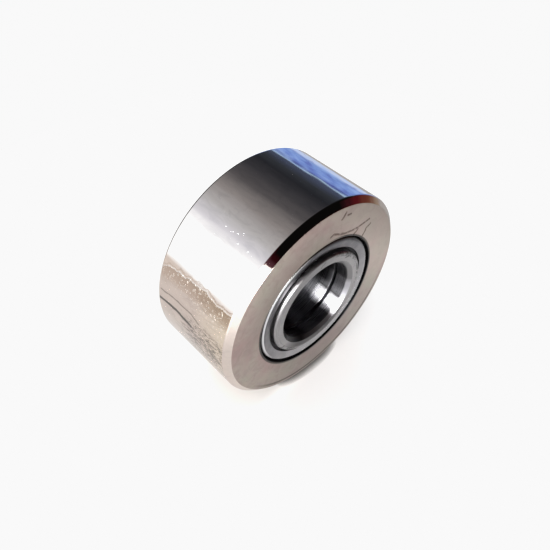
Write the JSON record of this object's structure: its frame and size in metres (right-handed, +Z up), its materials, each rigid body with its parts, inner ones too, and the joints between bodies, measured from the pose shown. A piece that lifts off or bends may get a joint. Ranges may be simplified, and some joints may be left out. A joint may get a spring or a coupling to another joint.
{
  "type": "cam follower",
  "caption": "Yoke-type cam follower: a thick polished outer ring turns on full rows of cylindrical rollers, closed by flange rings, angle rings and lip seals.",
  "frame": {"origin": "centre of the bore, halfway between the two clamping faces", "axes": "Y along the axis of the bore, with -Y out of the front side; +Z up, with the roller standing on its tread"},
  "size_m": [0.052, 0.025, 0.052],
  "materials": {
    "polished_ring_steel": "hardened bearing steel, ground and polished nearly to a mirror on the tread, finely ground on the sides",
    "bearing_steel": "hardened bearing steel, ground, with fine turned lines",
    "sheet_steel": "pressed sheet steel, smooth and slightly dull, with a rounded outer edge",
    "seal_rubber": "black nitrile rubber, matt, lightly oiled at the lip",
    "roller_steel": "hardened bearing steel, superfinished"
  },
  "bodies": {
    "clamped_rings": {"inner_ring": "bearing_steel", "front_flange_ring": "bearing_steel", "back_flange_ring": "bearing_steel"},
    "rolling_ring": {"outer_ring": "polished_ring_steel", "front_angle_ring": "sheet_steel", "back_angle_ring": "sheet_steel", "front_seal": "seal_rubber", "back_seal": "seal_rubber"},
    "front_rollers": {"front_roller_01": "roller_steel", "front_roller_02": "roller_steel", "front_roller_03": "roller_steel", "front_roller_04": "roller_steel", "front_roller_05": "roller_steel", "front_roller_06": "roller_steel", "front_roller_07": "roller_steel", "front_roller_08": "roller_steel", "front_roller_09": "roller_steel", "front_roller_10": "roller_steel", "front_roller_11": "roller_steel", "front_roller_12": "roller_steel", "front_roller_13": "roller_steel", "front_roller_14": "roller_steel", "front_roller_15": "roller_steel", "front_roller_16": "roller_steel", "front_roller_17": "roller_steel", "front_roller_18": "roller_steel"},
    "back_rollers": {"back_roller_01": "roller_steel", "back_roller_02": "roller_steel", "back_roller_03": "roller_steel", "back_roller_04": "roller_steel", "back_roller_05": "roller_steel", "back_roller_06": "roller_steel", "back_roller_07": "roller_steel", "back_roller_08": "roller_steel", "back_roller_09": "roller_steel", "back_roller_10": "roller_steel", "back_roller_11": "roller_steel", "back_roller_12": "roller_steel", "back_roller_13": "roller_steel", "back_roller_14": "roller_steel", "back_roller_15": "roller_steel", "back_roller_16": "roller_steel", "back_roller_17": "roller_steel", "back_roller_18": "roller_steel"}
  },
  "joints": [
    {"name": "outer_ring_spin", "type": "hinge", "parent": "clamped_rings", "child": "rolling_ring", "pos_m": [0, 0, 0], "axis": [0, 1, 0], "continuous": true},
    {"name": "front_rollers_orbit", "type": "hinge", "parent": "clamped_rings", "child": "front_rollers", "pos_m": [0, 0, 0], "axis": [0, 1, 0], "continuous": true},
    {"name": "back_rollers_orbit", "type": "hinge", "parent": "clamped_rings", "child": "back_rollers", "pos_m": [0, 0, 0], "axis": [0, 1, 0], "continuous": true}
  ],
  "couplings": [
    {"joint": "front_rollers_orbit", "follows": "outer_ring_spin", "ratio": 0.58531},
    {"joint": "back_rollers_orbit", "follows": "outer_ring_spin", "ratio": 0.58531}
  ]
}
